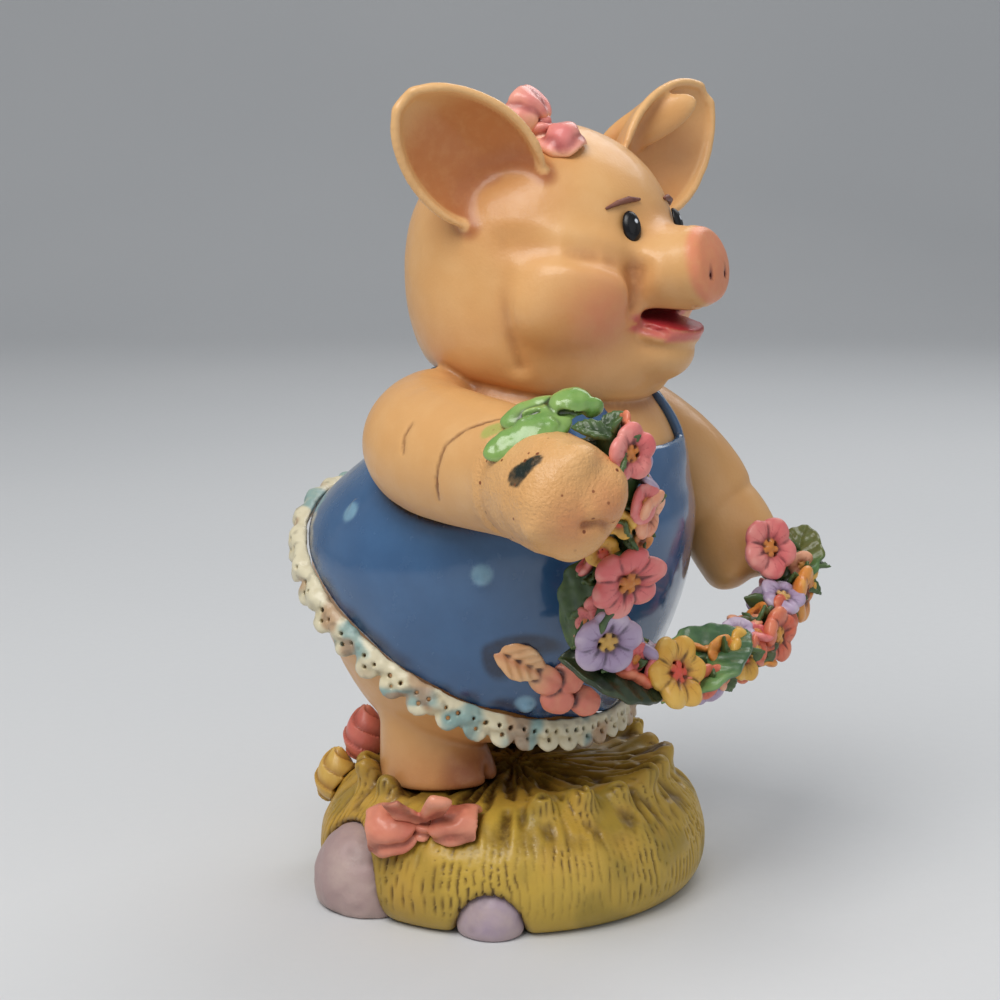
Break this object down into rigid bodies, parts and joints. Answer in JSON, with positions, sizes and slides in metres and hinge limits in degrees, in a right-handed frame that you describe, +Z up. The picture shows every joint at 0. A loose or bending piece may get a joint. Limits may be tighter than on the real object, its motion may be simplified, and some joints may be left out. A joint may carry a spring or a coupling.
{
  "type": "pig figurine",
  "caption": "Painted cast resin figurine of a pig in a blue dress on a grassy mound, holding a garland of flowers.",
  "frame": {"origin": "centre of the flat underside of the grass mound, where it rests", "axes": "+X to the pig's left, -Y the way the pig faces, +Z up"},
  "size_m": [0.0884, 0.0785, 0.1285],
  "materials": {
    "skin": "satin",
    "grass": "satin",
    "brow": "satin",
    "petal_pink": "satin",
    "petal_yellow": "satin",
    "dress": "gloss",
    "eye": "gloss",
    "petal_lilac": "satin",
    "leaf": "satin",
    "ribbon": "satin",
    "lace": "satin",
    "mouth": "satin",
    "nose": "satin",
    "stone": "satin"
  },
  "bodies": {
    "root": {"arm_left": "skin", "arm_right": "skin", "base_mound": "grass", "brow_left": "brow", "brow_right": "brow", "bud_pink": "petal_pink", "bud_yellow": "petal_yellow", "dress": "dress", "ear_left": "skin", "ear_right": "skin", "eye_left": "eye", "eye_right": "eye", "flower_coral_high": "petal_pink", "flower_coral_low": "petal_pink", "flower_coral_middle": "petal_pink", "flower_lilac_far": "petal_lilac", "flower_lilac_large": "petal_lilac", "flower_lilac_low": "petal_lilac", "flower_peach_high": "petal_pink", "flower_pink_far": "petal_pink", "flower_pink_large": "petal_pink", "flower_pink_top": "petal_pink", "flower_yellow_far": "petal_yellow", "flower_yellow_large": "petal_yellow", "flower_yellow_middle": "petal_yellow", "garland_vine": "leaf", "grass_tufts": "grass", "ground_bow_knot": "ribbon", "ground_bow_loops": "ribbon", "ground_bow_tails": "ribbon", "hair_bow_knot": "ribbon", "hair_bow_loop_back": "ribbon", "hair_bow_loop_front": "ribbon", "head": "skin", "lace_frill": "lace", "leaf_belly": "leaf", "leaf_far_end": "leaf", "leaf_far_low": "leaf", "leaf_hand": "leaf", "leaf_low": "leaf", "leaf_middle": "leaf", "leaf_upper": "leaf", "leg_left": "skin", "leg_right": "skin", "lower_lip": "mouth", "nose_pad": "nose", "petal_skirt": "petal_pink", "snout": "skin", "stone_large": "stone", "stone_small": "stone", "strap_left": "dress", "strap_right": "dress", "tongue": "mouth", "trotter_left": "skin", "trotter_right": "skin", "trunk": "skin"}
  },
  "joints": []
}
